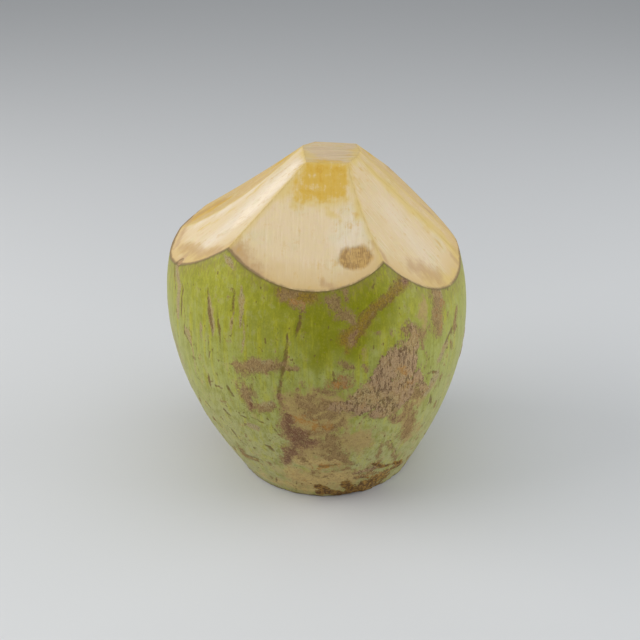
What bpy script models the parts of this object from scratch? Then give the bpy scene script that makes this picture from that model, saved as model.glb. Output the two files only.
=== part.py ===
"""Young green coconut, trimmed for drinking: a flat foot and a low cone pared with a knife.

Metres, Z up. The origin is the middle of the flat foot, and the broad front stroke faces -Y.
"""

import math

import bmesh
import bpy
from mathutils import Vector

# Driving dimensions of the whole nut, before the knife
girth_radius = 0.0821
girth_height = 0.0944
girth_lean_x = 0.0052
girth_lean_y = 0.0020
crown_height = 0.1050
taper_depth = 0.1870
taper_power = 1.95
taper_fullness = 1.675
tail_sway = 0.0019
sway_length = 0.1000
sway_top = 0.1200
three_lobes = 0.012
five_lobes = 0.004
five_lobes_turn = 0.8

# How finely the skin is divided
columns = 88
rings = 52

# The flat foot and the nearly level cut at the top
stock_below_foot = 0.010
flat_top_height = 0.1797
flat_top_slope_x = -0.0237
flat_top_slope_y = -0.0089

# A stroke's cutter, measured from the nut's axis along and across the stroke
stroke_start = -0.020
stroke_end = 0.095
stroke_half_width = 0.095
stroke_step = 0.005
clear_height = 0.240

# The notch in the rim, where the knife slipped at the end of the left stroke
notch_place = Vector((-0.0722, -0.0285, 0.1320))
notch_radius = 0.0035

# Each knife stroke: the way it faces, its height on the nut's axis and its fall, in degrees, and
# how it bows along and across itself, where a hollow is above zero and a swell is below zero
strokes = {
    "front": dict(faces=-90.0, height=0.1850, fall=21.8, bow_along=-3.0, bow_across=-1.0),
    "front_right": dict(faces=-22.0, height=0.1991, fall=45.3, bow_along=0.0, bow_across=0.9),
    "right": dict(faces=-11.0, height=0.1992, fall=43.9, bow_along=0.0, bow_across=-0.5),
    "back_right": dict(faces=8.0, height=0.2011, fall=42.2, bow_along=-0.5, bow_across=-0.5),
    "back": dict(faces=84.0, height=0.1969, fall=36.9, bow_along=0.0, bow_across=-0.5),
    "back_left": dict(faces=135.0, height=0.1928, fall=37.7, bow_along=0.3, bow_across=-0.5),
    "left": dict(faces=169.0, height=0.1886, fall=40.9, bow_along=1.6, bow_across=-0.3),
    "front_left": dict(faces=-176.0, height=0.1838, fall=31.3, bow_along=-1.5, bow_across=-0.3),
}


def clear_scene():
    for old in list(bpy.data.objects):
        bpy.data.objects.remove(old, do_unlink=True)


def make_collection(name):
    collection = bpy.data.collections.new(name)
    bpy.context.scene.collection.children.link(collection)
    return collection


def make_material(name, colour, roughness):
    material = bpy.data.materials.new(name)
    material.use_nodes = True
    surface = material.node_tree.nodes["Principled BSDF"]
    surface.inputs["Base Color"].default_value = (*colour, 1.0)
    surface.inputs["Roughness"].default_value = roughness
    surface.inputs["Metallic"].default_value = 0.0
    return material


def make_object(name, shape, material, collection):
    """Turn a bmesh into an object, and free the bmesh."""
    mesh = bpy.data.meshes.new(name)
    shape.to_mesh(mesh)
    shape.free()
    mesh.materials.append(material)
    thing = bpy.data.objects.new(name, mesh)
    collection.objects.link(thing)
    return thing


def axis_x(z):
    """The nut's axis sways to one side towards its tail."""
    along = 1.0 - min(z, sway_top) / sway_length
    return tail_sway * along ** 3


def girth_at(angle):
    """Height of the widest line, which leans a little across the nut."""
    return girth_height - girth_lean_x * math.cos(angle) - girth_lean_y * math.sin(angle)


def nut_radius(angle, z):
    """Radius of the skin: a half ellipse above the girth and a fuller taper below it."""
    girth = girth_at(angle)
    if z < girth:
        depth = (girth - z) / taper_depth
        share = (1.0 - depth ** taper_power) ** taper_fullness
    else:
        share = math.sqrt(max(0.0, 1.0 - ((z - girth) / crown_height) ** 2))
    lobes = three_lobes * math.sin(3 * angle) + five_lobes * math.sin(5 * angle + five_lobes_turn)
    return girth_radius * share * (1.0 + lobes)


def build_nut(skin, collection):
    """Reshape a sphere's rings: by height above the girth, and evenly below it to under the foot."""
    shape = bmesh.new()
    bmesh.ops.create_uvsphere(shape, u_segments=columns, v_segments=rings, radius=1.0)
    for vert in shape.verts:
        x, y, up = vert.co
        pole = math.hypot(x, y) < 1e-6
        angle = 0.0 if pole else math.atan2(y, x)
        girth = girth_at(angle)
        if up > 0.0:
            z = girth + crown_height * up
        else:
            z = girth + (girth + stock_below_foot) * math.asin(max(up, -1.0)) / (math.pi / 2)
        radius = 0.0 if pole else nut_radius(angle, z)
        if pole:
            z = girth_height + crown_height if up > 0.0 else -stock_below_foot
        vert.co = (axis_x(z) + radius * math.cos(angle), radius * math.sin(angle), z)
    for face in shape.faces:
        face.smooth = True
    return make_object("young_coconut", shape, skin, collection)


def stroke_height(stroke, along, across):
    """Height of the pared face at a place measured along and across the stroke."""
    fall = math.tan(math.radians(stroke["fall"]))
    bow = stroke["bow_along"] * along ** 2 + stroke["bow_across"] * across ** 2
    return stroke["height"] - fall * along + bow


def build_stroke(name, stroke, husk, collection):
    """A block whose underside is the face that one knife stroke leaves."""
    length = stroke_end - stroke_start
    shape = bmesh.new()
    bmesh.ops.create_grid(
        shape,
        x_segments=round(length / stroke_step),
        y_segments=round(2 * stroke_half_width / stroke_step),
        size=1.0,
    )
    for vert in shape.verts:
        along = stroke_start + length * (vert.co.x + 1.0) / 2
        across = stroke_half_width * vert.co.y
        vert.co = (along, across, stroke_height(stroke, along, across))
    grown = bmesh.ops.extrude_face_region(shape, geom=shape.faces[:])
    for part in grown["geom"]:
        if isinstance(part, bmesh.types.BMVert):
            part.co.z = clear_height
    bmesh.ops.recalc_face_normals(shape, faces=shape.faces[:])
    cutter = make_object("stroke_" + name, shape, husk, collection)
    cutter.rotation_euler.z = math.radians(stroke["faces"])
    return cutter


def build_block(name, low, high, husk, collection):
    """An upright box between two corners."""
    shape = bmesh.new()
    bmesh.ops.create_cube(shape, size=1.0)
    for vert in shape.verts:
        for axis in range(3):
            vert.co[axis] = low[axis] + (high[axis] - low[axis]) * (vert.co[axis] + 0.5)
    return make_object(name, shape, husk, collection)


def build_flat_top(husk, collection):
    """The last cut, across the tip, with its underside a little out of level."""
    wide = stroke_end
    block = build_block("flat_top", (-wide, -wide, 0.0), (wide, wide, clear_height), husk, collection)
    for vert in block.data.vertices:
        if vert.co.z < clear_height / 2:
            vert.co.z = flat_top_height + flat_top_slope_x * vert.co.x + flat_top_slope_y * vert.co.y
    return block


def build_foot_cut(husk, collection):
    """The cut that gives the nut its flat foot."""
    wide = stroke_end
    return build_block("foot_cut", (-wide, -wide, -2 * wide), (wide, wide, 0.0), husk, collection)


def build_notch(husk, collection):
    shape = bmesh.new()
    bmesh.ops.create_icosphere(shape, subdivisions=2, radius=notch_radius)
    cutter = make_object("rim_notch", shape, husk, collection)
    cutter.location = notch_place
    return cutter


def cut(thing, cutter):
    """Take the cutter's space out of the nut, and leave the cutter as a guide."""
    boolean = thing.modifiers.new(cutter.name, "BOOLEAN")
    boolean.operation = "DIFFERENCE"
    boolean.solver = "EXACT"
    boolean.material_mode = "TRANSFER"
    boolean.object = cutter
    cutter.hide_render = True
    cutter.display_type = "WIRE"


clear_scene()
parts = make_collection("young_coconut")
cutters = make_collection("cutters")
green_skin = make_material("green_skin", (0.42, 0.50, 0.13), 0.55)
cut_husk = make_material("cut_husk", (0.86, 0.72, 0.52), 0.80)

nut = build_nut(green_skin, parts)
cut(nut, build_foot_cut(cut_husk, cutters))
for stroke_name, knife_stroke in strokes.items():
    cut(nut, build_stroke(stroke_name, knife_stroke, cut_husk, cutters))
cut(nut, build_flat_top(cut_husk, cutters))
cut(nut, build_notch(cut_husk, cutters))
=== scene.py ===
import math

import bpy
import numpy as np
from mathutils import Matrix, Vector


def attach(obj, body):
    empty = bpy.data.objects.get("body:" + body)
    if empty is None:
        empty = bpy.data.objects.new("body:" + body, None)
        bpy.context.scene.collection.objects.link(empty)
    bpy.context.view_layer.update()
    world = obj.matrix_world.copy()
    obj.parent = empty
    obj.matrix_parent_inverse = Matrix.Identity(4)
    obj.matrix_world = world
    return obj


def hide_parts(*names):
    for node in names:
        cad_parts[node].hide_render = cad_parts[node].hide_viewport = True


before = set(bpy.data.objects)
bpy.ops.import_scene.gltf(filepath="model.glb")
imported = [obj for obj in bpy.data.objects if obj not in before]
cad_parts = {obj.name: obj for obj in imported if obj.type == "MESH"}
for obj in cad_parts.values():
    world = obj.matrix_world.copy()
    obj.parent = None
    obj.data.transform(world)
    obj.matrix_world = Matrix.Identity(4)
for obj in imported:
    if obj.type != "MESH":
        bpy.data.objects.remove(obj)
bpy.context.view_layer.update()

# Camera, as the photograph was taken: 640 x 640 picture, metres
view = dict(focal=67.5, film=36.0, picture=640, place=(0.0017, -0.5981, 0.3784), dip=26.2)
view.update(near=0.45, far=0.75, steps=1201)  # the stretch of a ray that can meet the nut

mm = 0.001

# The whole nut before the knife, the same sizes as the solid
nut = dict(
    radius=0.0821, girth=0.0944, leanX=0.0052, leanY=0.0020, crown=0.1050, taper=0.1870,
    taperPower=1.95, taperFull=1.675, sway=0.0019, swayLength=0.1000, swayTop=0.1200,
    lobes3=0.012, lobes5=0.004, turn5=0.8,
)

# The last, nearly level cut across the tip
flatTop = dict(height=0.1797, slopeX=-0.0237, slopeY=-0.0089, middle=(0.0062, 0.0050))

# Where the knife slipped into the rim
notch = dict(place=(-0.0722, -0.0285, 0.1320), radius=0.0035, inward=(0.75, 0.30, -0.59))

# Knife strokes in order round the nut: degrees and metres, bows as in the solid, columns of the
# grid on each, and how pale or golden the husk is that it laid bare, from 0 to 1
strokeKeys = ("name", "faces", "height", "fall", "bowAlong", "bowAcross", "columns", "pale", "golden")
strokes = [dict(zip(strokeKeys, values)) for values in (
    ("front", -90.0, 0.1850, 21.8, -3.0, -1.0, 108, 0.1, 0.0),
    ("frontRight", -22.0, 0.1991, 45.3, 0.0, 0.9, 94, 0.0, 0.24),
    ("right", -11.0, 0.1992, 43.9, 0.0, -0.5, 14, 0.2, 0.65),
    ("backRight", 8.0, 0.2011, 42.2, -0.5, -0.5, 40, 0.0, 0.85),
    ("back", 84.0, 0.1969, 36.9, 0.0, -0.5, 46, 0.4, 0.1),
    ("backLeft", 135.0, 0.1928, 37.7, 0.3, -0.5, 36, 0.2, 0.4),
    ("left", 169.0, 0.1886, 40.9, 1.6, -0.3, 20, 0.0, 1.0),
    ("frontLeft", -176.0, 0.1838, 31.3, -1.5, -0.3, 96, 0.25, 0.0),
)]

# Rows of the grid, from the middle of the foot up the skin and the pared faces to the tip
rows = dict(foot=8, edge=3, skin=126, pared=66, tip=9)

footEdge = 0.0016  # rounding where the skin turns under
rimSearch = dict(low=0.02, high=0.10, rounds=40)  # radii between which the rim is looked for


def skinRadius(angle, z):
    # half ellipse above the girth, (1 - depth^p)^q below it, times three and five soft lobes
    girth = nut["girth"] - nut["leanX"] * np.cos(angle) - nut["leanY"] * np.sin(angle)
    depth = np.clip((girth - z) / nut["taper"], 0.0, 1.0)
    rise = np.clip((z - girth) / nut["crown"], 0.0, 1.0)
    below = (1 - depth ** nut["taperPower"]) ** nut["taperFull"]
    share = np.where(z < girth, below, np.sqrt(1 - rise ** 2))
    lobes = nut["lobes3"] * np.sin(3 * angle) + nut["lobes5"] * np.sin(5 * angle + nut["turn5"])
    return nut["radius"] * share * (1 + lobes)


def axisX(z):
    return nut["sway"] * (1 - np.minimum(z, nut["swayTop"]) / nut["swayLength"]) ** 3


def skinGap(x, y, z):
    # how far a point stands out of the skin
    x = x - axisX(z)
    return np.hypot(x, y) - skinRadius(np.arctan2(y, x), z)


def strokePlace(stroke, x, y):
    # distance along the stroke, down its slope, and across it
    c, s = math.cos(math.radians(stroke["faces"])), math.sin(math.radians(stroke["faces"]))
    return x * c + y * s, y * c - x * s


def strokeHeight(stroke, x, y):
    # height = start - fall * along + bow * along^2 + bow * across^2
    along, across = strokePlace(stroke, x, y)
    bow = stroke["bowAlong"] * along ** 2 + stroke["bowAcross"] * across ** 2
    return stroke["height"] - math.tan(math.radians(stroke["fall"])) * along + bow


def tipHeight(x, y):
    return flatTop["height"] + flatTop["slopeX"] * x + flatTop["slopeY"] * y


def solvePlace(first, second, guess):
    # Newton's method in plan for the place where two height differences are both zero
    place, step = np.array(guess, float), 1e-6
    for _ in range(30):
        here = np.array([first(*place), second(*place)])
        slope = np.empty((2, 2))
        for axis in range(2):
            moved = place.copy()
            moved[axis] += step
            slope[:, axis] = (np.array([first(*moved), second(*moved)]) - here) / step
        place = place - np.linalg.solve(slope, here)
    return place


def slideOnto(places, difference):
    # moves plan points square to a line until a height difference is zero there
    step = 1e-6
    for _ in range(8):
        value = difference(places[..., 0], places[..., 1])
        gx = (difference(places[..., 0] + step, places[..., 1]) - value) / step
        gy = (difference(places[..., 0], places[..., 1] + step) - value) / step
        size = np.maximum(gx ** 2 + gy ** 2, 1e-9)
        places = places - (value / size)[..., None] * np.stack([gx, gy], -1)
    return places


def rimPlaces(stroke, angles):
    # where the skin meets the pared face, by halving the radius between the axis and outside
    low, high = np.full_like(angles, rimSearch["low"]), np.full_like(angles, rimSearch["high"])
    for _ in range(rimSearch["rounds"]):
        middle = (low + high) / 2
        x, y = middle * np.cos(angles), middle * np.sin(angles)
        out = skinGap(x, y, strokeHeight(stroke, x, y)) > 0
        low, high = np.where(out, low, middle), np.where(out, middle, high)
    return np.stack([low * np.cos(angles), low * np.sin(angles)], -1)


def hashed(ix, iy, iz, seed):
    # a fixed number from 0 to 1 for each corner of a lattice
    word = (ix * 374761393 + iy * 668265263 + iz * 1440662683 + seed * 974634777) & 0xFFFFFFFF
    word = ((word ^ (word >> 13)) * 1274126177) & 0xFFFFFFFF
    return ((word ^ (word >> 16)) & 0xFFFF) / 65535.0


def roughness(points, scale, seed, octaves=1):
    # value noise, 0 to 1: lattice numbers blended by 3t^2 - 2t^3, halved in size for each octave
    total, weight = 0.0, 0.0
    for octave in range(octaves):
        spot = points * np.asarray(scale, float) * 2.0 ** octave + 17.0
        base = np.floor(spot).astype(np.int64)
        t = spot - base
        t = t * t * (3 - 2 * t)
        value = 0.0
        for corner in range(8):
            bit = [(corner >> axis) & 1 for axis in range(3)]
            share = np.prod([t[..., axis] if bit[axis] else 1 - t[..., axis] for axis in range(3)], axis=0)
            lattice = [base[..., axis] + bit[axis] for axis in range(3)]
            value = value + share * hashed(*lattice, seed + octave)
        total, weight = total + value * 0.5 ** octave, weight + 0.5 ** octave
    return total / weight


def smooth(low, high, value):
    t = np.clip((value - low) / (high - low), 0.0, 1.0)
    return t * t * (3 - 2 * t)


# Where a pixel of the photograph meets the nut

dip = math.radians(view["dip"])
eye = np.array(view["place"])
ahead = np.array([0.0, math.cos(dip), -math.sin(dip)])
upward = np.array([0.0, math.sin(dip), math.cos(dip)])
pixelsPerUnit = view["focal"] / view["film"] * view["picture"]


def outside(points):
    # above zero outside the pared nut, roughly in metres
    x, y, z = points[..., 0], points[..., 1], points[..., 2]
    value = np.maximum(skinGap(x, y, z), z - tipHeight(x, y))
    for stroke in strokes:
        value = np.maximum(value, z - strokeHeight(stroke, x, y))
    return value


def onNut(pixels):
    # marches the camera's ray through each pixel until it is inside the nut
    pixels = np.atleast_2d(pixels).astype(float) - view["picture"] / 2
    rays = ahead + pixels[:, :1] / pixelsPerUnit * np.array([1.0, 0.0, 0.0])
    rays = rays - pixels[:, 1:] / pixelsPerUnit * upward
    reach = np.linspace(view["near"], view["far"], view["steps"])
    points = eye + rays[:, None, :] * reach[None, :, None]
    first = (outside(points) < 0).argmax(1)
    return points[np.arange(len(pixels)), first]


def onSkin(angles, z):
    radius = skinRadius(angles, z)
    return np.stack([axisX(z) + radius * np.cos(angles), radius * np.sin(angles), z], -1)


# The grid of the nut

print("laying out the pared faces")
firstGuess = dict(tip=0.012, rim=0.075)  # a corner's distance from the middle, before it is solved
corners = []
for index, stroke in enumerate(strokes):
    other = strokes[(index + 1) % len(strokes)]
    middle = math.radians(stroke["faces"] + ((other["faces"] - stroke["faces"]) % 360) / 2)
    both = lambda x, y, a=stroke, b=other: strokeHeight(a, x, y) - strokeHeight(b, x, y)
    tipEdge = lambda x, y, a=stroke: strokeHeight(a, x, y) - tipHeight(x, y)
    rimEdge = lambda x, y, a=stroke: skinGap(x, y, strokeHeight(a, x, y))
    out = np.array([math.cos(middle), math.sin(middle)])
    corners.append(dict(
        tip=solvePlace(both, tipEdge, np.array(flatTop["middle"]) + firstGuess["tip"] * out),
        rim=solvePlace(both, rimEdge, firstGuess["rim"] * out),
        both=both,
    ))

paredRows = rows["pared"]
upRun = np.linspace(0.0, 1.0, paredRows + 1)
plan, strokeOfColumn, ridgeColumns = [], [], []
for index, stroke in enumerate(strokes):
    start, end = corners[index - 1], corners[index]
    ridges = []
    for corner in (start, end):
        line = corner["rim"] + (corner["tip"] - corner["rim"]) * upRun[:, None]
        ridges.append(slideOnto(line, corner["both"]))
    count = stroke["columns"]
    across = np.arange(count) / count
    first = math.atan2(start["rim"][1], start["rim"][0])
    sweep = (math.atan2(end["rim"][1], end["rim"][0]) - first) % (2 * math.pi)
    rim = rimPlaces(stroke, first + sweep * across)
    tip = start["tip"] + (end["tip"] - start["tip"]) * across[:, None]
    tip = slideOnto(tip, lambda x, y, a=stroke: strokeHeight(a, x, y) - tipHeight(x, y))
    t, f = across[None, :, None], upRun[:, None, None]
    patch = (1 - t) * ridges[0][:, None] + t * ridges[1][:, None] + (1 - f) * rim[None] + f * tip[None]
    patch = patch - (1 - f) * ((1 - t) * start["rim"] + t * end["rim"])
    patch = patch - f * ((1 - t) * start["tip"] + t * end["tip"])
    ridgeColumns.append(len(strokeOfColumn))
    strokeOfColumn += [index] * count
    plan.append(patch)
plan = np.concatenate(plan, axis=1)
strokeOfColumn = np.array(strokeOfColumn)
ridgeColumns = np.array(ridgeColumns)
columns = len(strokeOfColumn)

paredZ = np.zeros(plan.shape[:2])
for index, stroke in enumerate(strokes):
    mine = strokeOfColumn == index
    paredZ[:, mine] = strokeHeight(stroke, plan[:, mine, 0], plan[:, mine, 1])
pared = np.concatenate([plan, paredZ[..., None]], axis=2)

rimAngle = np.arctan2(plan[0, :, 1], plan[0, :, 0])
rimZ = paredZ[0]

print("laying out the skin")
rise = np.linspace(0.0, 1.0, rows["skin"] + 1)[:-1, None]
skinZ = footEdge + (rimZ[None] - footEdge) * rise
skin = onSkin(np.broadcast_to(rimAngle, skinZ.shape), skinZ)

edgeTurn = np.linspace(0.0, math.pi / 2, rows["edge"] + 1)[:-1, None]
edgeRadius = skinRadius(rimAngle, footEdge)[None] - footEdge * (1 - np.sin(edgeTurn))
edgeZ = footEdge * (1 - np.cos(edgeTurn)) + 0 * edgeRadius
edge = np.stack([axisX(edgeZ) + edgeRadius * np.cos(rimAngle), edgeRadius * np.sin(rimAngle), edgeZ], -1)

inward = np.linspace(0.0, 1.0, rows["foot"] + 1)[1:-1, None]
footRadius = edgeRadius[0] * inward
foot = np.stack([
    axisX(0.0) + footRadius * np.cos(rimAngle), footRadius * np.sin(rimAngle), 0 * footRadius,
], -1)

tipRing = pared[-1, :, :2]
tipShare = np.linspace(1.0, 0.0, rows["tip"] + 1)[1:-1, None, None]
tipPlan = np.array(flatTop["middle"]) + (tipRing[None] - np.array(flatTop["middle"])) * tipShare
tip = np.concatenate([tipPlan, tipHeight(tipPlan[..., 0], tipPlan[..., 1])[..., None]], -1)

grid = np.concatenate([foot, edge, skin, pared, tip], axis=0)
firstEdge = len(foot)
firstSkin = firstEdge + len(edge)
rimRow = firstSkin + len(skin)
tipRow = rimRow + paredRows
rowCount = len(grid)
print("grid", grid.shape)

# Marks on the skin, by kind. Each mark is half its width, one for its whole path or one for each
# point, and then its path in pixels of the photograph. Soft is how far its edge fades, and warp is
# how far its outline wanders. All but the pixels are in millimetres

skinMarks = {
    "cork": dict(soft=3.4, warp=3.6, marks=[
        ([4.6, 7.8, 8], [(412, 342), (404, 356), (402, 374)]), (6.4, [(392, 362), (382, 380)]),
        (8.6, [(403, 390), (388, 402)]), (8, [(377, 390), (362, 402)]),
        ([5.4, 4], [(356, 404), (340, 408)]), (3, [(416, 374), (424, 388)]),
        ([3, 6.2, 6.4, 4.4, 2], [(346, 490), (356, 488), (369, 483), (382, 474), (399, 463)]),
        (2, [(360, 476), (372, 472)]), (1.4, [(352, 472), (376, 467)]), (1.8, [(411, 326), (412, 336)]),
    ]),
    "rust": dict(soft=4, warp=3, marks=[
        (4, [(336, 383), (348, 382)]), (3, [(441, 296), (442, 324)]),
        (4, [(302, 420), (316, 426), (328, 428)]), (3, [(318, 465), (336, 466)]),
        (2.2, [(360, 480), (376, 474), (388, 468)]), (3, [(410, 380), (402, 372)]),
        (2, [(292, 474), (300, 479), (306, 476)]), (2.6, [(296, 300), (302, 306)]),
    ]),
    "maroon": dict(soft=4.2, warp=3, marks=[
        ([1, 3, 4.8], [(281, 396), (285, 416), (291, 430)]),
        ([6.4, 6, 3], [(295, 436), (300, 441), (311, 443)]),
        ([4.4, 3, 1.8], [(292, 447), (288, 455), (284, 464)]), (1.9, [(391, 416), (402, 418)]),
        (1.4, [(406, 274), (404, 280)]), (1.4, [(343, 379), (347, 385)]), (1.3, [(253, 404), (253, 410)]),
        ([0.8, 1.8, 1], [(357, 332), (350, 341), (346, 349)]), (1.6, [(328, 491), (342, 492)]),
    ]),
    "brown": dict(soft=3.8, warp=3, marks=[
        ([0.8, 3.4, 4, 3, 1.4], [(230, 364), (240, 366), (252, 367), (266, 366), (282, 363)]),
        (1.2, [(287, 368), (299, 370)]), ([1.4, 4.2, 3.4], [(241, 380), (247, 391), (250, 402)]),
        (1.4, [(250, 405), (254, 411)]), (1.1, [(254, 409), (264, 408), (273, 404)]),
        (2.2, [(285, 292), (296, 294)]), (2.4, [(296, 303), (302, 308)]),
        ([4.4, 6.2, 5.2], [(436, 291), (438, 308), (439, 326)]), (1.6, [(456, 312), (454, 328)]),
        (3, [(408, 330), (421, 335)]), (3, [(334, 303), (339, 312)]), (2.6, [(344, 315), (351, 319)]),
        (1.2, [(347, 290), (347.5, 298)]), (3.6, [(336, 384), (347, 381)]),
        (1.6, [(338, 364), (350, 368)]), (3, [(405, 384), (418, 394)]),
        (3.4, [(410, 406), (411, 421), (406, 434)]), (1.4, [(388, 442), (394, 449), (394, 460)]),
        ([1.6, 3.4, 3.6, 3, 1.6], [(344, 419), (332, 428), (330, 442), (338, 456), (352, 463)]),
        (2.2, [(299, 396), (314, 398)]), (1.6, [(300, 388), (306, 386)]), (1.8, [(320, 391), (330, 391)]),
        (2.6, [(300, 402), (316, 408), (334, 405)]), (2, [(322, 416), (336, 414)]),
        (2.4, [(306, 432), (322, 428)]), (1.8, [(394, 466), (402, 462)]),
        ([1, 2.2, 1.2], [(303, 413), (308, 417), (316, 418)]),
        ([0.8, 1.8, 1], [(316, 437), (321, 441), (324, 448)]),
        ([0.8, 1.6, 0.8], [(298, 456), (304, 458), (309, 463)]),
        ([0.8, 1.6, 1], [(319, 452), (325, 455), (330, 462)]),
        ([0.6, 1.4, 0.6], [(338, 470), (346, 468), (355, 470)]),
        ([0.6, 1.5, 0.6], [(293, 474), (299, 478), (306, 477)]),
        (1.4, [(240, 447), (245, 456), (258, 460)]),
    ]),
    "scar": dict(soft=3.4, warp=2, marks=[
        ([3.2, 3, 2.4, 3, 4.4], [(405, 279), (392, 292), (376, 307), (361, 326), (347, 340)]),
        ([2.4, 0.8], [(347, 341), (346, 353)]), ([3, 4.4, 3], [(284, 291), (298, 296), (312, 296)]),
    ]),
    "scratch": dict(soft=1, warp=1.5, marks=[
        ([0.2, 1, 0.2], [(302, 309), (299, 325), (294, 344)]),
        ([0.3, 0.9, 1.3, 0.9, 1, 1.2], [
            (288, 334), (285.4, 353), (283.4, 366), (280.3, 382), (280, 396), (283, 406),
        ]),
        ([0.4, 0.9, 1, 0.4], [(208, 287), (209, 305), (211, 320), (213, 336)]),
        ([0.3, 0.9, 0.3], [(217.5, 306), (219, 325), (221, 348)]),
        ([0.3, 0.6, 0.3], [(233, 288), (233.5, 304), (234, 320)]),
        ([0.2, 0.7, 0.4], [(207.5, 370), (209, 380), (213, 391)]), (0.5, [(216, 386), (224, 389)]),
        (0.7, [(228, 387), (234, 397)]), (0.5, [(238, 378), (242, 385)]),
        ([0.3, 0.9, 0.3], [(223, 407), (228, 413), (233, 417)]),
        ([0.3, 1, 0.3], [(212, 414), (217, 421), (223, 427)]),
        ([0.2, 0.7, 0.3], [(250, 416), (259, 421), (268, 426)]),
        ([0.3, 0.9, 0.3], [(231, 428), (236, 435), (242, 443)]),
        ([0.3, 1, 0.8, 0.3], [(236, 444), (244, 454), (256, 458), (263, 461)]),
        ([0.6, 1.4, 0.8], [(263, 444), (268, 447), (273, 451)]),
        ([0.3, 0.8, 0.3], [(206, 400), (210, 406), (214, 410)]),
        ([0.3, 0.7, 0.3], [(240, 415), (246, 418), (250, 424)]),
        ([0.3, 0.7, 0.3], [(272, 425), (276, 432), (280, 436)]),
        ([0.3, 0.6, 0.3], [(219, 436), (226, 439), (230, 445)]), (0.4, [(296, 481), (296.5, 491)]),
        (1, [(318, 466), (335, 465)]), (0.6, [(310, 474), (329, 479)]),
        ([1.2, 0.7], [(452, 328), (445, 344)]),
        ([0.4, 0.7, 0.4], [(183.5, 327), (185.5, 335), (190.5, 346)]),
        ([0.3, 0.5, 0.4], [(187, 326.5), (191, 331), (192, 339)]), (0.8, [(430.5, 394), (431.5, 402)]),
        (0.6, [(427, 374), (432, 372), (438, 374)]), (0.6, [(424, 382), (421, 392)]),
        (0.6, [(440, 379), (437, 387)]), ([0.4, 0.9, 0.4], [(430, 379), (433, 382), (435, 380)]),
        ([0.4, 0.9, 0.9, 0.6], [(400, 289), (377, 312), (363, 330), (353, 345)]),
        ([0.3, 0.6, 0.4], [(390, 286), (370, 305), (357, 322)]),
        (0.7, [(175.5, 262), (175.5, 290), (176, 312)]), (0.7, [(183.5, 260), (183, 290), (181, 316)]),
        (0.6, [(391, 440), (396, 452), (395, 461)]), (0.6, [(412, 410), (413, 430)]),
    ]),
    "grey": dict(soft=2, warp=1, marks=[
        ([2.8, 2.6, 2], [(179, 260), (179.5, 286), (178, 316)]),
        ([0.5, 1.6, 1.4, 0.5], [(241, 284), (241.5, 298), (242, 314), (241, 328)]),
        ([0.6, 2, 0.6], [(224, 254), (229, 261), (234, 270)]),
        ([0.6, 1.6, 2, 0.6], [(209, 294), (210, 306), (212, 322), (213, 336)]),
        ([0.8, 2.6, 1], [(185.5, 328), (188.5, 334), (191, 343)]), (2.2, [(250, 426), (258, 428)]),
        (2.4, [(446, 344), (440, 358)]), (1.6, [(173, 330), (178, 348), (185, 366)]),
        ([3.4, 3.8, 3], [(436, 376), (431, 384), (426, 392)]), (4.4, [(437, 291), (439, 300)]),
        (3.4, [(252, 366), (268, 365)]), (2.6, [(245, 390), (250, 400)]), (2.2, [(264, 406), (271, 404)]),
    ]),
    "tan": dict(soft=7.5, warp=6, marks=[
        (10, [(354, 442)]), (7, [(304, 447), (324, 449)]), (12, [(304, 408), (318, 413), (334, 412)]),
        (9, [(304, 424), (326, 430)]), (6, [(300, 455), (334, 464)]), (2, [(424, 300), (424, 330)]),
        (9, [(296, 476), (320, 478), (345, 478)]), (5, [(407, 408), (410, 436)]),
        (6, [(402, 390), (420, 396)]),
    ]),
    "straw": dict(soft=7, warp=5, marks=[
        (8, [(292, 474), (312, 479), (340, 478)]), (4, [(300, 460), (330, 462)]),
        ([2.4, 4.8, 5, 4], [(258, 472), (284, 483), (312, 488), (336, 490)]),
    ]),
    "footDirt": dict(soft=2.2, warp=1.6, marks=[
        ([2, 3.4, 3, 2], [(317, 492), (328, 491), (344, 493), (368, 494)]),
        (2.4, [(318, 486), (326, 489)]), (2.6, [(345, 484), (356, 490)]), (2, [(374, 487), (386, 475)]),
        (1.2, [(372, 464), (384, 466), (399, 462)]),
    ]),
    "deep": dict(soft=20, warp=8, marks=[
        (13, [(318, 308), (374, 306)]), (11, [(322, 345), (352, 340)]), (3, [(308, 330), (292, 326)]),
        (4, [(300, 296), (280, 292)]),
    ]),
    "shade": dict(soft=16, warp=6, marks=[(13, [(286, 314), (266, 345)])]),
}

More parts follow.
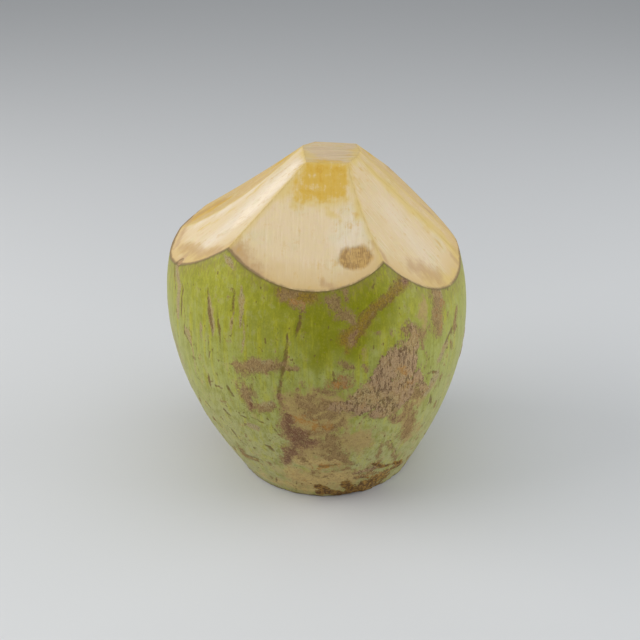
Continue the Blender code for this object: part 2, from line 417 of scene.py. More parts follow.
# More of them, drawn by a seeded rule, on the sides that the photograph doesn't show and where it
# shows too many to place: their kind, how many, between which degrees round the nut (-90 is the
# front), between which heights, how long, half how wide, in millimetres, and by how many degrees
# their run may turn from upright
scatteredMarks = [
    ("cork", 5, (-4, 184), (10, 90), 16, 4.8, 70),
    ("cork", 9, (-75, -25), (4, 30), 6, 1.1, 80),
    ("maroon", 4, (-4, 184), (15, 80), 8, 2, 40),
    ("brown", 20, (-4, 184), (10, 125), 10, 2.6, 80),
    ("brown", 44, (-112, -30), (4, 75), 5, 1.2, 80),
    ("brown", 16, (-80, -30), (70, 118), 5, 1.1, 40),
    ("brown", 34, (-170, -108), (4, 70), 3, 0.9, 80),
    ("scar", 3, (-4, 184), (50, 115), 30, 2.2, 50),
    ("scratch", 90, (-4, 184), (8, 130), 9, 0.7, 45),
    ("scratch", 12, (-168, -108), (6, 68), 4.5, 0.5, 75),
    ("scratch", 6, (-178, -118), (85, 125), 14, 0.4, 6),
    ("grey", 7, (-175, -105), (80, 128), 14, 0.9, 8),
    ("scratch", 14, (-100, -20), (6, 100), 5, 0.6, 50),
    ("grey", 14, (-4, 184), (30, 130), 16, 1.4, 12),
    ("tan", 6, (-4, 184), (8, 50), 14, 6, 80),
    ("straw", 6, (-4, 184), (4, 20), 14, 5, 90),
    ("footDirt", 8, (-4, 184), (1, 3), 14, 1.6, 90),
    ("footDirt", 5, (-75, -35), (1, 4), 6, 1.4, 90),
    ("deep", 6, (-4, 184), (60, 125), 30, 10, 20),
]

# And streaks along the pared faces, in the same terms, but their places and lengths are shares of
# the way from the rim to the tip
scatteredStreaks = [
    ("bruise", 14, (-10, 170), (0.00, 0.30), 0.10, 2.6),
    ("gold", 16, (-10, 180), (0.05, 0.95), 0.20, 2.2),
    ("ochre", 7, (-10, 170), (0.55, 0.98), 0.15, 4),
    ("pale", 10, (-10, 180), (0.20, 0.70), 0.40, 5),
    ("burn", 9, (-10, 180), (0.00, 0.02), 0.05, 5),
]

# Marks on the pared husk, in the same terms
huskMarks = {
    "ochre": dict(soft=9, warp=4, marks=[
        ([5, 6.6, 6, 4], [(306, 170), (318, 169), (332, 170), (345, 169)]),
        ([6.2, 8.2, 6], [(308, 181), (324, 182), (341, 182)]),
        ([3.6, 4.6, 3.8], [(303, 191), (320, 193), (341, 192)]),
        ([5, 6, 3], [(200, 215), (210, 209), (226, 200)]),
    ]),
    "gold": dict(soft=5.6, warp=4, marks=[
        (3.4, [(302, 170), (292, 184), (282, 198)]), (3.4, [(299, 192), (297, 205)]),
        ([3, 5, 4], [(304, 200), (322, 203), (342, 201)]), (3, [(303, 152), (311, 158)]),
        (2.6, [(358, 149), (353, 160)]), (3.4, [(372, 170), (400, 199), (430, 225)]),
        (2.6, [(196, 216), (212, 206), (225, 199)]), (2.6, [(358, 206), (361, 216)]),
        (2.6, [(330, 210), (337, 214)]), (4, [(182, 245), (194, 256), (208, 254)]),
        (5, [(426, 276), (448, 282)]), (4, [(443, 238), (458, 256), (460, 272), (450, 283)]),
    ]),
    "bruise": dict(soft=6.2, warp=2.4, marks=[
        (1.6, [(374, 244), (387, 262)]), (2, [(455, 238), (460.5, 254), (461, 270), (454, 283)]),
        # the first mark on the next line, at the front face's lower left corner, is painted shade
        (5, [(236, 250), (244, 262), (256, 274)]), (4.4, [(184, 257), (189, 251)]),
        (2.4, [(176, 246), (182, 232), (192, 218)]),
        ([4.4, 6.6, 5], [(412, 266), (424, 270), (438, 277)]),
        ([0.6, 1, 0.6], [(257, 182), (265, 177), (273, 172)]),
        (4.2, [(200, 214), (212, 207), (224, 200)]), (3.4, [(182, 246), (200, 254), (218, 251)]),
        (1.6, [(322, 284), (334, 286)]),
    ]),
    # a cream band over the front-left ridge: the husk's cream colour, partly painted light that blurs the
    # lit step at the ridge
    "cream": dict(soft=7, warp=3, marks=[
        ([3, 7, 7, 4], [(294, 166), (277, 184), (258, 203), (238, 222)]),
    ]),
    "burn": dict(soft=4, warp=3, marks=[
        (6, [(194, 212), (180, 234), (174, 250), (188, 264), (212, 258), (230, 247)]),
        (4, [(232, 247), (241, 262), (256, 276)]), (3, [(378, 252), (388, 264)]),
        (6, [(451, 231), (462, 252), (464, 274)]),
    ]),
    "char": dict(soft=5, warp=1, marks=[(5, [(193, 217), (184, 228), (177, 240)])]),
    "pale": dict(soft=10, warp=3, marks=[
        # the two marks on the next line run along the front-left ridge and are partly painted light that
        # blurs the lit step there
        (6, [(292, 168), (262, 194), (222, 232), (205, 246)]), (5, [(288, 176), (270, 194), (250, 212)]),
        (9, [(390, 212), (408, 234), (424, 252)]), (6, [(352, 225), (346, 240)]),
    ]),
    "oval": dict(soft=1.4, warp=1.2, marks=[
        ([3.4, 6.6, 6.4, 3.6], [(345, 258), (352, 257.5), (359, 257), (366, 257)]),
    ]),
}

leastFade = 0.0004  # so that the thinnest marks don't vanish between the grid's points


def markField(points, spots, halves, soft):
    # half a step up where the distance to the path equals its half width, and up to 1 inside
    halves = np.broadcast_to(halves, len(spots))
    field = np.zeros(points.shape[:-1])
    for index in range(max(len(spots) - 1, 1)):
        a, b = spots[index], spots[min(index + 1, len(spots) - 1)]
        ha, hb = halves[index], halves[min(index + 1, len(spots) - 1)]
        run = b - a
        t = np.clip(((points - a) @ run) / max(run @ run, 1e-12), 0.0, 1.0)
        reach = np.linalg.norm(points - a - t[..., None] * run, axis=-1)
        half = ha + (hb - ha) * t
        fade = np.minimum(soft, half + leastFade)
        field = np.maximum(field, np.clip(0.5 + (half - reach) / (2 * fade), 0.0, 1.0))
    return field


markTaper, streakTaper = np.array([0.5, 1.0, 0.6]), np.array([0.6, 1.0, 0.6])
lengthSpread, markSpread, streakSpread = (0.5, 1.5), (0.6, 1.3), (0.5, 1.3)
mostBend = 20.0


def drawMark(dice, sides, heights, length, half, turn):
    # one seeded mark on the skin: a bent line of three points
    angles, levels = [math.radians(dice.uniform(*sides))], [dice.uniform(*heights) * mm]
    step = length * mm * dice.uniform(*lengthSpread) / 2
    turn = math.radians(dice.uniform(-turn, turn))
    bend = math.radians(dice.uniform(-mostBend, mostBend))
    for part in (turn, turn + bend):
        angles.append(angles[-1] + step * math.sin(part) / nut["radius"])
        levels.append(levels[-1] - step * math.cos(part))
    halves = half * dice.uniform(*markSpread) * markTaper
    return onSkin(np.array(angles), np.maximum(np.array(levels), 0.0)), halves


def drawStreak(dice, sides, shares, length, half):
    # one seeded streak from the laid out pared faces, down one column of the grid
    angle = math.radians(dice.uniform(*sides))
    column = np.abs(np.angle(np.exp(1j * (rimAngle - angle)))).argmin()
    share = dice.uniform(*shares) + length * np.array([-0.5, 0.0, 0.5])
    places = np.clip(np.round(share * paredRows), 0, paredRows).astype(int)
    return pared[places, column], half * dice.uniform(*streakSpread) * streakTaper


print("finding the marks")
dice = np.random.default_rng(29)
wander = np.stack([roughness(grid, (120, 120, 120), 40 + axis, 3) for axis in range(3)], -1) * 2 - 1
fields = {}
for kind, group in {**skinMarks, **huskMarks}.items():
    drawn = [(onNut(path), half) for half, path in group["marks"]]
    for rules, draw in ((scatteredMarks, drawMark), (scatteredStreaks, drawStreak)):
        for ruleKind, count, *rule in rules:
            drawn += [draw(dice, *rule) for _ in range(count if ruleKind == kind else 0)]
    warped, field = grid + wander * group["warp"] * mm, np.zeros(grid.shape[:2])
    for spots, half in drawn:
        field = np.maximum(field, markField(warped, spots, np.multiply(half, mm), group["soft"] * mm))
    fields[kind] = field

# How far each point is from the rim, and from the nearest ridge or the tip's edge
farAway = 0.03
fields["rimGap"] = np.clip(np.linalg.norm(grid - grid[rimRow], axis=-1), 0.0, farAway)
toRidges = np.linalg.norm(grid[:, :, None] - grid[:, None, ridgeColumns], axis=-1).min(2)
toRidges[tipRow + 1:] = farAway
toTip = np.linalg.norm(grid - grid[tipRow], axis=-1)
fields["ridgeGap"] = np.clip(np.minimum(toRidges, toTip), 0.0, farAway)

# Relief: the skin's unevenness, cork that stands proud, scars and scratches cut in, and the
# fibres and knife chatter of the pared faces

relief = dict(
    swell=0.00050, ripple=0.00016, cork=0.00042, scar=0.00018, scratch=0.00012, edgeRagged=0.00070,
    fibre=0.00010, chatter=0.00010, hollow=0.00035, oval=0.00030, rimChip=0.00035, tipGrain=0.00012,
)
# noise in it: its name, features a metre on each axis, seed and octaves
skinNoises = [("swell", (34, 34, 20), 1, 3), ("ripple", (260, 260, 26), 2, 2)]
paredNoises = [
    ("fibre", (650, 45, 1), 5, 2), ("chatter", (40, 170, 1), 6, 2), ("hollow", (60, 40, 1), 7, 2),
]


def heave(points, noises):
    # up and down by as much as the relief's sizes
    return sum((roughness(points, *rest) - 0.5) * 2 * relief[name] for name, *rest in noises)


def gridNormals(points):
    # cross product of the steps up the rows and along the columns
    up = np.gradient(points, axis=0)
    along = np.roll(points, -1, axis=1) - np.roll(points, 1, axis=1)
    normal = np.cross(along, up)
    return normal / np.maximum(np.linalg.norm(normal, axis=-1, keepdims=True), 1e-12)


print("raising the relief")
row = np.arange(rowCount)[:, None]
onSkinRows = smooth(firstSkin, firstSkin + 4, row) * smooth(rimRow, rimRow - 3, row) * (row < rimRow)
halfRound = columns // 2
ridgeSteps = np.abs((np.arange(columns)[:, None] - ridgeColumns + halfRound) % columns - halfRound)
awayFromRidge = smooth(0, 4, ridgeSteps.min(1))[None]
onPared = smooth(rimRow, rimRow + 4, row) * smooth(tipRow, tipRow - 3, row) * awayFromRidge
onPared = onPared * ((row > rimRow) & (row < tipRow))

grain = roughness(grid, (700, 700, 320), 3, 2)
lift = heave(grid, skinNoises)
lift = lift + smooth(0.3, 0.7, fields["cork"] + 0.5 * (grain - 0.5)) * relief["cork"] * (0.3 + 1.4 * grain)
lift = lift - smooth(0.3, 0.8, fields["scar"]) * relief["scar"] * (0.5 + grain)
lift = lift - smooth(0.2, 0.7, fields["scratch"]) * relief["scratch"]
lift = lift + smooth(0.3, 0.7, fields["brown"] + 0.4 * (grain - 0.5)) * relief["cork"] * 0.35 * grain
skinLift = lift * onSkinRows

along, across = np.zeros(grid.shape[:2]), np.zeros(grid.shape[:2])
for index, stroke in enumerate(strokes):
    mine = strokeOfColumn == index
    along[:, mine], across[:, mine] = strokePlace(stroke, grid[:, mine, 0], grid[:, mine, 1])
strokeApart = 0.37  # sets the noise of one stroke apart from that of the next
strokeLayer = np.broadcast_to(strokeOfColumn, across.shape) * strokeApart
strokeSpace = np.stack([across, along, strokeLayer], -1)
lift = heave(strokeSpace, paredNoises)
lift = lift - smooth(0.3, 0.8, fields["oval"]) * relief["oval"] * (0.5 + grain)
paredLift = lift * onPared

onTip = smooth(tipRow, tipRow + 2, row) * smooth(rowCount, rowCount - 4, row) * (row > tipRow)
tipLift = (roughness(grid, (60, 900, 60), 8, 2) - 0.5) * relief["tipGrain"] * onTip

normals = gridNormals(grid)
grid = grid + normals * (skinLift + paredLift + tipLift)[..., None]

chips = smooth(0.62, 0.9, roughness(grid[rimRow], (420, 420, 420), 9, 2)) * relief["rimChip"]
grid[rimRow, :, 2] -= chips
ragged = (roughness(grid[firstEdge:firstSkin], (330, 330, 200), 10, 2) - 0.5) * relief["edgeRagged"]
ragged = ragged - smooth(0.3, 0.7, fields["footDirt"][firstEdge:firstSkin]) * relief["edgeRagged"]
outward = np.stack([np.cos(rimAngle), np.sin(rimAngle), 0 * rimAngle], -1)
grid[firstEdge:firstSkin] += outward * ragged[..., None]

# a point inside the notch's ball slides inward until it is on the ball's far side
into = np.array(notch["inward"]) / np.linalg.norm(notch["inward"])
offset = grid - np.array(notch["place"])
deep = (offset ** 2).sum(-1) < notch["radius"] ** 2
fields["notchGap"] = np.clip(np.linalg.norm(offset, axis=-1) / notch["radius"], 0.0, 2.0)
forward = offset @ into
slide = -forward + np.sqrt(np.maximum(forward ** 2 - (offset ** 2).sum(-1) + notch["radius"] ** 2, 0.0))
grid = grid + np.where(deep, slide, 0.0)[..., None] * into

# Mesh

print("building the mesh")
footMiddle = np.array([axisX(0.0), 0.0, 0.0])
tipMiddle = np.array([*flatTop["middle"], tipHeight(*flatTop["middle"])])
points = np.concatenate([grid.reshape(-1, 3), [footMiddle, tipMiddle]])
i, j = np.meshgrid(np.arange(rowCount - 1), np.arange(columns), indexing="ij")
nextJ = (j + 1) % columns
here, above = i * columns, (i + 1) * columns
quads = np.stack([here + j, here + nextJ, above + nextJ, above + j], -1).reshape(-1, 4)
ring = np.arange(columns)
ringNext = (ring + 1) % columns
footFan = np.stack([np.full(columns, rowCount * columns), ringNext, ring], -1)
last = (rowCount - 1) * columns
tipFan = np.stack([np.full(columns, rowCount * columns + 1), last + ring, last + ringNext], -1)

mesh = bpy.data.meshes.new("youngCoconut")
mesh.from_pydata(points.tolist(), [], quads.tolist() + footFan.tolist() + tipFan.tolist())
mesh.shade_smooth()
coconut = bpy.data.objects.new("youngCoconut", mesh)
bpy.context.scene.collection.objects.link(coconut)
print("triangles", len(quads) * 2 + 2 * columns)

skinSlot, huskSlot, footSlot = 0, 1, 2
faceRow = np.concatenate([i.reshape(-1), np.full(columns, -1), np.full(columns, rowCount)])
faceColumn = np.concatenate([j.reshape(-1), ring, ring])
slot = np.where(faceRow >= rimRow, huskSlot, np.where(faceRow < firstEdge, footSlot, skinSlot))
mesh.polygons.foreach_set("material_index", slot.astype(np.int32))


def addFloats(name, domain, values):
    mesh.attributes.new(name, "FLOAT", domain).data.foreach_set("value", values.astype(np.float32))


for name, field in fields.items():
    # the middles of the foot and of the tip take the value beside them
    addFloats(name, "POINT", np.concatenate([field.reshape(-1), field[[0, -1], 0]]))
faceStroke = np.where((faceRow >= rimRow) & (faceRow < tipRow), strokeOfColumn[faceColumn], -1)
for name in ("pale", "golden"):
    tints = np.array([stroke[name] for stroke in strokes] + [0.0])  # the last is the flat top's
    addFloats(name + "Face", "FACE", tints[faceStroke])
addFloats("levelCut", "FACE", faceRow >= tipRow)

# Ridges between strokes, the rim and the tip's edge are sharp
ends = np.empty(len(mesh.edges) * 2, np.int32)
mesh.edges.foreach_get("vertices", ends)
ends = ends.reshape(-1, 2)
endRow, endColumn = ends // columns, ends % columns
sameRow = endRow[:, 0] == endRow[:, 1]
onRing = sameRow & np.isin(endRow[:, 0], (firstEdge, rimRow, tipRow))
onRidge = (endColumn[:, 0] == endColumn[:, 1]) & np.isin(endColumn[:, 0], ridgeColumns)
onRidge = onRidge & (endRow.min(1) >= rimRow) & (endRow.max(1) <= tipRow)
mesh.attributes.new("sharp_edge", "BOOLEAN", "EDGE").data.foreach_set("value", onRing | onRidge)

# The grain map: across and along each stroke, and on the flat top along the knife's sideways run
corner = np.empty(len(mesh.loops), np.int32)
mesh.loops.foreach_get("vertex_index", corner)
faceOfCorner = np.repeat(np.arange(len(faceRow)), np.where(np.arange(len(faceRow)) < len(quads), 4, 3))
place = points[corner]
turns = np.radians([(stroke["faces"], stroke["fall"]) for stroke in strokes] + [(0.0, 0.0)])
turn, fall = turns[faceStroke[faceOfCorner]].T
grainU = place[:, 1] * np.cos(turn) - place[:, 0] * np.sin(turn)
grainV = (place[:, 0] * np.cos(turn) + place[:, 1] * np.sin(turn)) / np.cos(fall)
grainMap = mesh.uv_layers.new(name="grain")
grainMap.data.foreach_set("uv", np.stack([grainU, grainV], -1).reshape(-1).astype(np.float32))

# Materials


def bothWays(operation):
    # a sign's two methods: with the feed first, and with the number first
    forward = lambda feed, other: feed.math(operation, feed, other)
    return forward, lambda feed, other: feed.math(operation, other, feed)


class Feed:
    # one output of a node: sums with numbers or other feeds add Math nodes
    def __init__(self, tree, socket=None):
        self.tree, self.socket = tree, socket

    def node(self, kind, settings=None, values=None, output=0):
        # any node: its settings first, then numbers or links
        made = self.tree.nodes.new("ShaderNode" + kind)
        for name, value in (settings or {}).items():
            setattr(made, name, value)
        for name, value in (values or {}).items():
            if isinstance(value, Feed):
                self.tree.links.new(value.socket, made.inputs[name])
            else:
                made.inputs[name].default_value = value
        return Feed(self.tree, made.outputs[output])

    def math(self, operation, first, second):
        return self.node("Math", dict(operation=operation), {0: first, 1: second})

    __add__, __radd__ = bothWays("ADD")
    __sub__, __rsub__ = bothWays("SUBTRACT")
    __mul__, __rmul__ = bothWays("MULTIPLY")

    def noise(self, stretch, detail=2.0, rough=0.55, seed=0.0):
        # noise on these coordinates, stretched by a number of features a metre on each axis
        values = {0: self, 1: stretch, 2: (seed, seed, seed)}
        spot = self.node("VectorMath", dict(operation="MULTIPLY_ADD"), values)
        values = {"Vector": spot, "Scale": 1.0, "Detail": detail, "Roughness": rough}
        return self.node("TexNoise", None, values)

    def most(self, other):
        return self.math("MAXIMUM", self, other)

    def step(self, low, high):
        # rises softly from 0 at low to 1 at high, or falls where low is above high
        settings = dict(interpolation_type="SMOOTHSTEP")
        return self.node("MapRange", settings, {"Value": self, "From Min": low, "From Max": high})

    def over(self, under, colour):
        # this colour laid over another where the feed is 1
        full = lambda hue: hue if isinstance(hue, Feed) else (*hue, 1.0)
        values = {0: self, 6: full(under), 7: full(colour)}
        return self.node("Mix", dict(data_type="RGBA"), values, output=2)

    def attribute(self, name):
        return self.node("Attribute", dict(attribute_name=name), output=2)


class Paint:
    # a colour laid on in coats, each a hue by its name or a feed
    def __init__(self, hues, first):
        self.hues, self.hue = hues, first

    def mix(self, share, under, colour):
        named = lambda hue: self.hues[hue] if isinstance(hue, str) else hue
        return share.over(named(under), named(colour))

    def lay(self, share, colour):
        self.hue = self.mix(share, self.hue, colour)

    def fleck(self, *flecks):
        # coats from noises: where each starts to show, where it is full, how strong it is, its hue
        for noise, start, full, share, colour in flecks:
            self.lay(noise.step(start, full) * share, colour)


def newMaterial(name, roughnessValue, specular):
    material = bpy.data.materials.new(name)
    material.use_nodes = True
    surface = material.node_tree.nodes["Principled BSDF"]
    surface.inputs["Roughness"].default_value = roughnessValue
    surface.inputs["Specular IOR Level"].default_value = specular
    return material, surface, Feed(material.node_tree)


def plug(surface, name, feed):
    feed.tree.links.new(feed.socket, surface.inputs[name])


skinHues = dict(
    leaf=(0.34, 0.36, 0.1), upper=(0.315, 0.316, 0.032), deep=(0.21, 0.215, 0.001),
    # low, the paler lower skin, stands in part for painted bounce light from the floor
    low=(0.41, 0.392, 0.185), sunny=(0.43, 0.405, 0.035), olive=(0.225, 0.222, 0.02),
    tan=(0.44, 0.31, 0.115), straw=(0.605, 0.445, 0.168), brown=(0.34, 0.23, 0.092),
    brownDark=(0.21, 0.125, 0.05), orange=(0.43, 0.2, 0.036), maroon=(0.155, 0.062, 0.034),
    plum=(0.235, 0.112, 0.06), scar=(0.3, 0.18, 0.018), scratch=(0.16, 0.102, 0.028),
    moss=(0.15, 0.155, 0.032), grey=(0.395, 0.32, 0.19), cork=(0.345, 0.22, 0.09),
    # dirt is also laid on the lowest edge as painted contact shadow
    corkPale=(0.46, 0.328, 0.17), crack=(0.125, 0.066, 0.032), dirt=(0.12, 0.062, 0.024),
    umber=(0.41, 0.24, 0.055), halo=(0.24, 0.19, 0.055), corkPink=(0.4, 0.27, 0.17),
    rim=(0.15, 0.11, 0.045),
)


def paintSkin():
    # vertical streaks and mottling under stains, cork, scars and scratches
    material, surface, feed = newMaterial("greenSkin", 0.48, 0.14)
    mark = feed.attribute
    place = feed.node("TexCoord", output=3)
    height = feed.node("SeparateXYZ", None, {0: place}, output=2)
    streak = place.noise((330, 330, 17), 3.0)
    thin = place.noise((1000, 1000, 60), 2.0, seed=4.0)
    broad = place.noise((30, 30, 16), 2.0, seed=9.0)
    mottle = place.noise((240, 240, 200), 3.0, 0.6, seed=2.0)
    fine = place.noise((1300, 1300, 900), 2.0, 0.6, seed=6.0)
    weather = place.noise((95, 95, 75), 4.0, 0.62, seed=21.0)
    lump = place.noise((520, 520, 420), 3.0, 0.62, seed=37.0)
    ragged = (mottle - 0.5) * 1.9 + (lump - 0.5) * 1.3 + (fine - 0.5) * 1.1 + (weather - 0.5) * 0.8
    # a mark with a ragged edge: how ragged, where it starts to show and where it is full
    stain = lambda kind, wild, start, full: (mark(kind) + ragged * wild).step(start, full)
    speckle = ((fine - 0.5) * 1.7 + (mottle - 0.5) * 1.1 + (weather - 0.5) * 0.5 + 0.5).step(0.22, 0.78)
    grit = (place.noise((2000, 2000, 1100), 2.0, 0.7, seed=23.0) - 0.5) * 2.2 + mottle
    paint = Paint(skinHues, "leaf")
    # paler towards the bottom, in part painted bounce light from the floor
    paint.lay(1 - (height + (broad - 0.5) * 0.05).step(0.015, 0.102), "low")
    paint.lay((height + (streak - 0.5) * 0.08).step(0.088, 0.128), "upper")
    deep = (mark("deep") * 1.05 + (broad - 0.5) * 0.5).step(0.25, 0.85)
    paint.lay(deep, "deep")
    paint.lay(mark("shade") * 0.44, "deep")
    paint.fleck(
        (streak, 0.50, 0.70, 0.55, "sunny"), (streak, 0.50, 0.32, 0.45, "olive"),
        (thin, 0.52, 0.68, 0.40, "olive"), (mottle, 0.50, 0.66, 0.26 - deep * 0.22, "low"),
        (mottle, 0.50, 0.34, 0.42, "olive"), (fine, 0.50, 0.68, 0.24, "olive"),
        (fine, 0.50, 0.34, 0.20, "sunny"),
    )
    under = 1 - (mark("rimGap") - (streak - 0.5) * 0.020).step(0.001, 0.011)
    paint.lay(under * thin.step(0.35, 0.60) * 0.60, "halo")
    worn = (weather + (0.05 - height) * 1.3 + (mottle - 0.5) * 0.5).step(0.56, 0.72)
    paint.lay(worn * 0.45, "tan")
    web = place.noise((210, 210, 170), 3.0, 0.6, seed=31.0) - 0.5
    web = (1 - (web * web).step(0.0, 0.00016)) * (fine + weather - (height - 0.05) * 2.5).step(0.96, 1.06)
    paint.lay(web * 0.70, "moss")
    stained = mark("brown").most(mark("maroon")).most(mark("cork"))
    halo = stained.step(0.02, 0.35) * (mottle + fine * 0.6 + weather * 0.4).step(0.92, 1.06)
    paint.lay(halo * 0.55, "halo")
    tan = stain("tan", 0.60, 0.15, 0.80)
    tanHue = paint.mix(speckle * 0.30 + lump.step(0.44, 0.58) * 0.45, "tan", "brown")
    paint.lay(tan * 0.85, tanHue)
    straw = stain("straw", 0.50, 0.10, 0.95)
    strawHue = paint.mix(speckle * 0.20 + lump.step(0.46, 0.60) * 0.45, "straw", "brown")
    paint.lay(straw * 0.75, strawHue)
    grey = stain("grey", 0.35, 0.30, 0.70)
    paint.lay(grey * 0.75, paint.mix(speckle, "grey", "brown"))
    scratch = stain("scratch", 0.36, 0.26, 0.74)
    paint.lay(scratch * (0.78 + speckle * 0.16), "scratch")
    scar = stain("scar", 0.50, 0.14, 0.78)
    paint.lay(scar * 0.88, paint.mix(speckle * 0.7, "scar", "scratch"))
    brown = stain("brown", 0.65, 0.22, 0.74)
    brownHue = paint.mix(speckle * 0.40 + lump.step(0.42, 0.58) * 0.50, "brown", "brownDark")
    paint.lay(brown * 0.88, brownHue)
    maroon = stain("maroon", 0.55, 0.20, 0.70)
    heart = stain("maroon", 0.90, 0.50, 1.05)
    maroonHue = paint.mix(speckle * 0.5 + streak.step(0.45, 0.62) * 0.4, "brown", "plum")
    paint.lay(maroon * 0.90, paint.mix(heart, maroonHue, "maroon"))
    dash = place.noise((1000, 1000, 270), 2.0, 0.65, seed=12.0)
    cork = stain("cork", 0.65, 0.30, 0.56)
    corkHue = paint.mix(speckle, "corkPale", "cork")
    corkHue = paint.mix(weather.step(0.43, 0.56) * 0.5, corkHue, "corkPink")
    crack = 1 - (dash + (mottle - 0.5) * 0.45).step(0.40, 0.48)
    corkHue = paint.mix(crack * (0.60 + speckle * 0.25), corkHue, "crack")
    low = 1 - height.step(0.010, 0.026)
    clod = ((lump - 0.5) * 4.6 + (fine - 0.5) * 1.8 + thin).step(0.15, 0.80)
    corkHue = paint.mix(low * 0.95, corkHue, paint.mix(clod, "umber", "dirt"))
    paint.lay(cork * (0.97 - (1 - weather.step(0.38, 0.48)) * 0.12), corkHue)
    rust = (mark("rust") * 0.9 + ragged).step(0.50, 0.95)
    paint.lay(rust * (0.30 + lump.step(0.42, 0.58) * 0.40), "orange")
    scabby = brown.most(maroon).most(cork).most(grey).most(scar * 0.8).most(tan * 0.45)
    paint.lay((1 - grit.step(0.18, 0.42)) * scabby * 0.65, "crack")
    paint.lay(grit.step(0.62, 0.86) * scabby * (0.35 - low * 0.33), "corkPale")
    speck = place.noise((420, 420, 260), 1.0, seed=15.0).step(0.70, 0.75)
    paint.lay(speck * 0.75, "scratch")
    dirt = stain("footDirt", 0.55, 0.26, 0.58)
    # painted contact shadow: the lowest edge, where the nut meets the floor, darkened with the dirt colour
    contactShadow = 1 - (height + (mottle - 0.5) * 0.0030).step(0.0004, 0.0020)
    paint.lay(dirt, paint.mix(1 - clod * 0.6, "umber", "dirt"))
    paint.lay(contactShadow * 0.8, "dirt")
    # a dark line on the skin along the rim: the cut edge's brown, widened as painted shade under the rim
    rimLine = 1 - (mark("rimGap") + (mottle - 0.5) * 0.0016).step(0.0001, 0.0014)
    paint.lay(rimLine * 0.68, "rim")
    slip = 1 - (mark("notchGap") + (mottle - 0.5) * 0.8).step(0.80, 1.05)
    paint.lay(slip * 0.80, paint.mix(speckle, "grey", "brownDark"))
    plug(surface, "Base Color", paint.hue)
    rough = 0.40 + (mottle - 0.5) * 0.16 + cork * 0.35 + brown * 0.22 + tan * 0.10 + dirt * 0.25
    plug(surface, "Roughness", rough)
    bump = streak * 0.30 + thin * 0.16 + fine * (0.10 + cork * 0.8 + brown * 0.5)
    bump = bump + cork * 0.9 - crack * cork * 1.3 - scratch * 0.8 - scar * 0.35
    normal = feed.node("Bump", None, {"Strength": 0.55, "Distance": 0.0005, "Height": bump})
    plug(surface, "Normal", normal)
    return material


huskHues = dict(
    beige=(0.695, 0.55, 0.335), pale=(0.74, 0.635, 0.49), golden=(0.57, 0.39, 0.155),
    level=(0.59, 0.45, 0.285), levelLine=(0.43, 0.33, 0.2), fibre=(0.56, 0.455, 0.265),
    bright=(0.8, 0.69, 0.51), green=(0.56, 0.52, 0.3), ochre=(0.6, 0.38, 0.052),
    # bruise is also the painted shade at the front face's lower left corner
    amber=(0.57, 0.325, 0.026), gold=(0.64, 0.475, 0.15), bruise=(0.46, 0.29, 0.15),
    oval=(0.3, 0.165, 0.05), ovalLight=(0.54, 0.34, 0.11), border=(0.59, 0.412, 0.175),
    # cream is laid over the front-left ridge, partly as painted light
    burn=(0.21, 0.14, 0.065), cream=(0.93, 0.8, 0.62), pink=(0.7, 0.53, 0.39), lemon=(0.7, 0.58, 0.3),
    # the crease colour is laid along the ridges as painted shade
    crease=(0.48, 0.335, 0.125), slip=(0.23, 0.19, 0.085),
)


